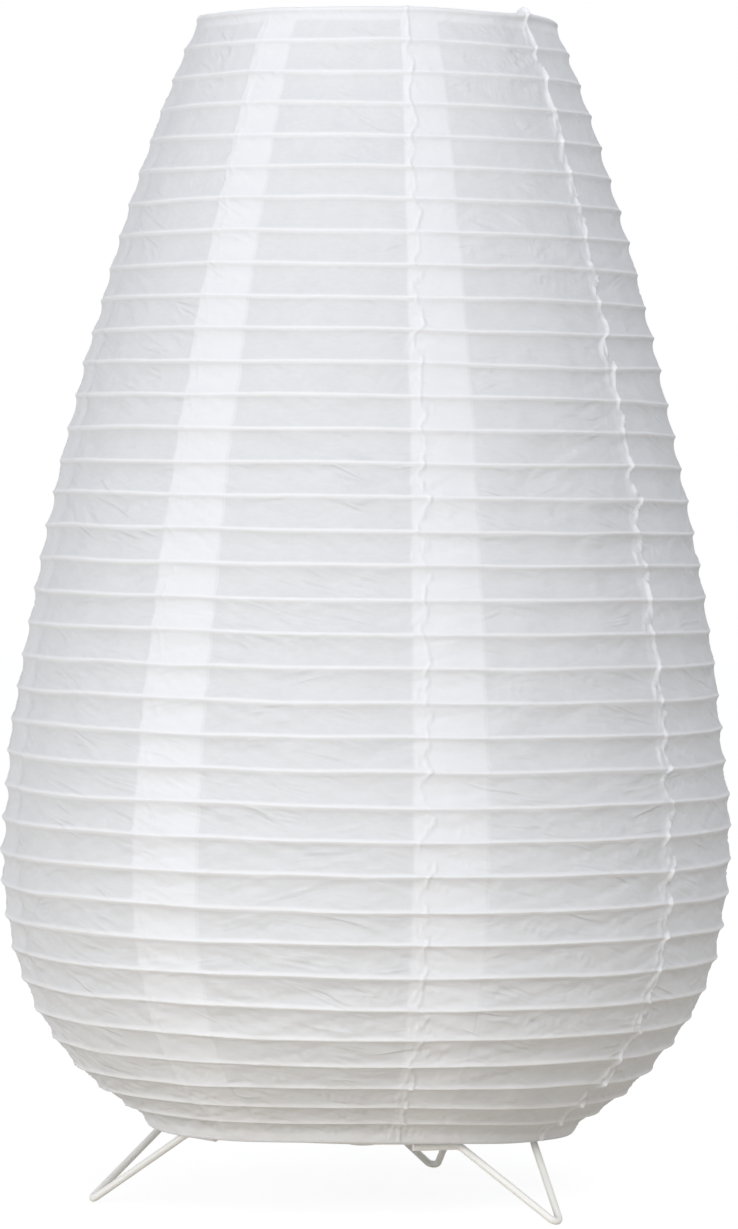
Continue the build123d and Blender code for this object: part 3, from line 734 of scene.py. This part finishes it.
# %% Hoop tree
def hoop_tree():
    tree, given = start_tree("shade_hoops", (
        ("Hem turn", hem_turn), ("Span", paper_length / spans), ("Wire radius", 0.0006),
        ("Under paper", 0.0009)), "Wire")
    points = add(tree, "GeometryNodePoints", {"Count": hoop_count})
    number = add(tree, "ShaderNodeMath", {
        0: add(tree, "GeometryNodeInputIndex"), 1: 1.0}, operation="ADD")
    length = add(tree, "ShaderNodeMath", {
        0: number, 1: given["Span"], 2: given["Hem turn"]}, operation="MULTIPLY_ADD")
    outline = add(tree, "GeometryNodeSampleCurve", {
        "Curves": given["Geometry"], "Length": length}, mode="LENGTH")
    spot = add(tree, "ShaderNodeSeparateXYZ", {0: outline.outputs["Position"]})
    way = add(tree, "ShaderNodeSeparateXYZ", {0: outline.outputs["Tangent"]})
    inward = add(tree, "ShaderNodeMath", {
        0: way.outputs[1], 1: given["Under paper"]}, operation="MULTIPLY")
    radius = add(tree, "ShaderNodeMath", {0: spot.outputs[0], 1: inward}, operation="SUBTRACT")
    height = add(tree, "ShaderNodeMath", {
        0: way.outputs[0], 1: given["Under paper"], 2: spot.outputs[1]}, operation="MULTIPLY_ADD")
    lifted = add(tree, "GeometryNodeSetPosition", {
        "Geometry": points, "Position": add(tree, "ShaderNodeCombineXYZ", {2: height})})
    circle = add(tree, "GeometryNodeCurvePrimitiveCircle", {"Resolution": 160, "Radius": 1.0})
    placed = add(tree, "GeometryNodeInstanceOnPoints", {
        "Points": lifted, "Instance": circle,
        "Scale": add(tree, "ShaderNodeCombineXYZ", {0: radius, 1: radius, 2: 1.0})})
    real = add(tree, "GeometryNodeRealizeInstances", {"Geometry": placed})
    uneven = add(tree, "GeometryNodeGroup", {}, node_tree=wander)
    tree.links.new(add(tree, "GeometryNodeInputPosition").outputs[0], uneven.inputs[0])
    moved = add(tree, "GeometryNodeSetPosition", {"Geometry": real, "Position": uneven})
    section = add(tree, "GeometryNodeCurvePrimitiveCircle", {
        "Resolution": 8, "Radius": given["Wire radius"]})
    wires = add(tree, "GeometryNodeCurveToMesh", {"Curve": moved, "Profile Curve": section})
    end_tree(tree, wires, given["Wire"])
    return tree


hoops = made_mesh(outline_object("hoop_outline"), hoop_tree(), "hoops", Wire=hoop_wire)
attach(hoops, "shade")
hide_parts("hoops_lower", "hoops_middle", "hoops_upper")
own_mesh(hoops)
print("hoops", len(hoops.data.polygons), "faces")

# %% [markdown]
# ## Rim and hem wires
# The paper is turned round one wire ring at the rim and one at the hem. A torus would do for a
# true ring, but these are bent, so each is a circle moved by the same unevenness as the paper,
# with a round section swept along it. The paper round the hem's wire is a piece of its own,
# which rises with the wire when the shade is folded flat.

# %% Ring tree
def ring_tree():
    tree, given = start_tree("edge_ring", (
        ("Ring radius", 0.0), ("Ring height", 0.0), ("Wire radius", 0.0)), "Cover")
    circle = add(tree, "GeometryNodeCurvePrimitiveCircle", {
        "Resolution": 240, "Radius": given["Ring radius"]})
    place = add(tree, "ShaderNodeVectorMath", {
        0: add(tree, "GeometryNodeInputPosition"),
        1: add(tree, "ShaderNodeCombineXYZ", {2: given["Ring height"]})}, operation="ADD")
    uneven = add(tree, "GeometryNodeGroup", {}, node_tree=wander)
    tree.links.new(place.outputs[0], uneven.inputs[0])
    moved = add(tree, "GeometryNodeSetPosition", {"Geometry": circle, "Position": uneven})
    section = add(tree, "GeometryNodeCurvePrimitiveCircle", {
        "Resolution": 16, "Radius": given["Wire radius"]})
    tube = add(tree, "GeometryNodeCurveToMesh", {"Curve": moved, "Profile Curve": section})
    mapped = add(tree, "GeometryNodeStoreNamedAttribute", {
        "Geometry": tube, "Name": "paper_map", "Value": add(tree, "GeometryNodeInputPosition")},
        data_type="FLOAT2", domain="CORNER")
    layered = add(tree, "GeometryNodeStoreNamedAttribute", {
        "Geometry": mapped, "Name": "paleness", "Value": edge_backed}, data_type="FLOAT", domain="POINT")
    end_tree(tree, layered, given["Cover"])
    return tree


rings = ring_tree()
print("made", rings.name, "with", len(rings.nodes), "nodes")

# %% Wires and binding
binding_r = hem_hold - off_wire / 2
for name, node, body, ring_r, ring_z, wire_r, cover, slot in (
    ("hem_wire", "hem_ring", "hem", hem_r, hem_z, hem_wire_r, white_wire, "coated_wire"),
    ("hem_binding", None, "hem", hem_r, hem_z, binding_r, paper, "rice_paper"),
    ("rim_wire", "rim_ring", "shade", rim_r, rim_z, rim_wire_r, white_wire, "coated_wire"),
):
    ring = made_mesh(
        outline_object(f"{name}_start"), rings, name,
        Ring_radius=ring_r, Ring_height=ring_z, Wire_radius=wire_r, Cover=cover)
    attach(ring, body)
    if node:
        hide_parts(node)
    print(ring.name, len(ring.data.polygons), "faces")

# %% [markdown]
# ## Finishes of the stand, the lampholder and the lamp
# These nodes have their true shapes already, so each one only gets its material. The paper
# hides nearly all of them, so one recipe serves: a tone that varies over about 12 mm, a fine
# grain and a shine of its own, with the colour and roughness of the real stuff.

# %% Moulded and metal finishes
def finish(name, code, roughness, metallic=0.0, grain=0.0006, depth=0.00005, ior=1.5, mottle=0.08):
    material, tree = new_material(name)
    place = add(tree, "ShaderNodeTexCoord").outputs["Object"]
    tone = add(tree, "ShaderNodeTexNoise", {"Vector": place, "Scale": 1 / 0.012, "Detail": 4.0})
    fine = add(tree, "ShaderNodeTexNoise", {"Vector": place, "Scale": 1 / grain, "Detail": 2.0})
    deep = [(1 - mottle) * c for c in linear(code)[:3]] + [1.0]
    colour = add(tree, "ShaderNodeMix", {
        "Factor": tone.outputs[0], 6: deep, 7: linear(code)}, data_type="RGBA")
    bump = add(tree, "ShaderNodeBump", {
        "Height": fine.outputs[0], "Strength": 0.3, "Distance": depth})
    shine = add(tree, "ShaderNodeMapRange", {
        0: tone.outputs[0], 3: max(roughness - 0.08, 0.03), 4: roughness + 0.08})
    body = add(tree, "ShaderNodeBsdfPrincipled", {
        "Base Color": colour.outputs[2], "Roughness": shine, "Metallic": metallic,
        "IOR": ior, "Normal": bump})
    add(tree, "ShaderNodeOutputMaterial", {"Surface": body})
    return material


white_plastic = finish("moulded_white_plastic", "#EDEDEA", 0.45)
porcelain = finish("steatite_porcelain", "#EDE8DC", 0.35)
brass = finish("bright_brass", "#D9B36A", 0.28, metallic=1.0)
zinc = finish("zinc_plated_steel", "#C9CBCC", 0.32, metallic=1.0)
rolled_metal = finish("rolled_aluminium", "#D2D3D4", 0.3, metallic=1.0)
black_glass = finish("black_vitrite_glass", "#101013", 0.12, mottle=0.3)
frosted = finish("frosted_diffuser", "#F4F3EF", 0.55)
board_white = finish("white_circuit_board", "#E9EAE8", 0.4)
board_green = finish("green_circuit_board", "#1F5A38", 0.4, mottle=0.2)
phosphor = finish("yellow_phosphor", "#F0D566", 0.5)
print("made", len(bpy.data.materials), "materials so far")

# %% Which node wears what
wearing = {
    white_wire: ["base_ring", "holder_plate"]
    + [f"{kind}_{i}" for kind in ("foot", "upright", "spoke") for i in (1, 2, 3)],
    zinc: ["threaded_tube", "lock_nut", "lock_washer", "grip_screw", "terminal_screws",
           "contact_rivets"],
    white_plastic: ["cord_bush", "holder_cap", "holder_skirt", "lamp_housing"],
    porcelain: ["terminal_block"],
    brass: ["screw_shell", "centre_contact"],
    rolled_metal: ["lamp_button", "lamp_cap"],
    black_glass: ["lamp_insulator"],
    frosted: ["lamp_globe"],
    board_white: ["lamp_board"],
    board_green: ["driver_board"],
    phosphor: ["lamp_chips"],
}
for material, names in wearing.items():
    for name in names:
        nodes[name].data.materials.clear()
        nodes[name].data.materials.append(material)
print("dressed", sum(len(names) for names in wearing.values()), "nodes")

# %% [markdown]
# ## Floor and light
# The lamp stands in a white studio. More light would whiten the floor, but it would bleach the
# paper too, so the floor and the world are white to the eye and plain to the light. A big soft
# lamp stands low on the left, a weaker one high on the right and the weakest one at the left
# side, and the world fills in from all round.

# %% Floor
floor_reach, floor_z = 8.0, -0.0002


def seen_directly(tree):
    # 1 for rays from the camera, a mirror or clear glass, and 0 for those that only light
    ray = add(tree, "ShaderNodeLightPath").outputs
    sight = add(tree, "ShaderNodeMath", {
        0: ray["Is Camera Ray"], 1: ray["Is Glossy Ray"]}, operation="MAXIMUM")
    return add(tree, "ShaderNodeMath", {
        0: sight, 1: ray["Is Transmission Ray"]}, operation="MAXIMUM")


def pale_floor():
    material, tree = new_material("pale_floor")
    # For the light, a pale sheet a metre across lies on a darker floor
    place = add(tree, "ShaderNodeTexCoord")
    out = add(tree, "ShaderNodeVectorMath", {0: place.outputs["Object"]}, operation="LENGTH")
    beyond = add(tree, "ShaderNodeMapRange", {
        "Value": out.outputs["Value"], 1: 0.35, 2: 0.90, 3: 0.0, 4: 1.0},
        interpolation_type="SMOOTHSTEP")
    sheet = add(tree, "ShaderNodeMix", {
        "Factor": beyond, 6: linear("#DED4C4"), 7: linear("#A09A92")}, data_type="RGBA")
    matt = add(tree, "ShaderNodeBsdfDiffuse", {"Color": sheet.outputs[2]})
    grey = add(tree, "ShaderNodeBsdfDiffuse", {"Color": linear("#8C8C8C")})
    glow = add(tree, "ShaderNodeEmission", {"Color": linear("#FFFFFF"), "Strength": 0.86})
    white = add(tree, "ShaderNodeAddShader", {0: grey, 1: glow})
    both = add(tree, "ShaderNodeMixShader", {0: seen_directly(tree), 1: matt, 2: white})
    add(tree, "ShaderNodeOutputMaterial", {"Surface": both})
    return material


floor_mesh = bpy.data.meshes.new("floor")
corners = [(x * floor_reach, y * floor_reach, floor_z)
           for x, y in ((-1, -1), (1, -1), (1, 1), (-1, 1))]
floor_mesh.from_pydata(corners, [], [(0, 1, 2, 3)])
floor = bpy.data.objects.new("floor", floor_mesh)
floor.data.materials.append(pale_floor())
bpy.context.collection.objects.link(floor)
print("floor", 2 * floor_reach, "m wide")

# %% Lamps
softbox_width = 1.4
shade_middle = Vector((0, 0, 0.3))
for name, place, power in (
    ("key", (-2.26, -1.96, 0.56), 38.5),
    ("fill", (0.52, -2.39, 2.02), 28),
    ("side", (-2.99, 0.21, 1.00), 5.5),
):
    light = bpy.data.lights.new(name, "AREA")
    light.shape = "DISK"
    light.size = softbox_width
    light.energy = power
    lamp = bpy.data.objects.new(name, light)
    lamp.location = place
    lamp.rotation_euler = (shade_middle - Vector(place)).to_track_quat("-Z", "Y").to_euler()
    bpy.context.collection.objects.link(lamp)
    print(name, power, "W")

# %% World
world = bpy.data.worlds.new("studio")
bpy.context.scene.world = world
world.use_nodes = True
sky = world.node_tree
sky.nodes.clear()
lighting = add(sky, "ShaderNodeBackground", {"Color": linear("#F5F8FF"), "Strength": 0.55})
white = add(sky, "ShaderNodeBackground", {"Color": linear("#FFFFFF"), "Strength": 1.0})
both = add(sky, "ShaderNodeMixShader", {0: seen_directly(sky), 1: lighting, 2: white})
add(sky, "ShaderNodeOutputWorld", {"Surface": both})
print("made", world.name)
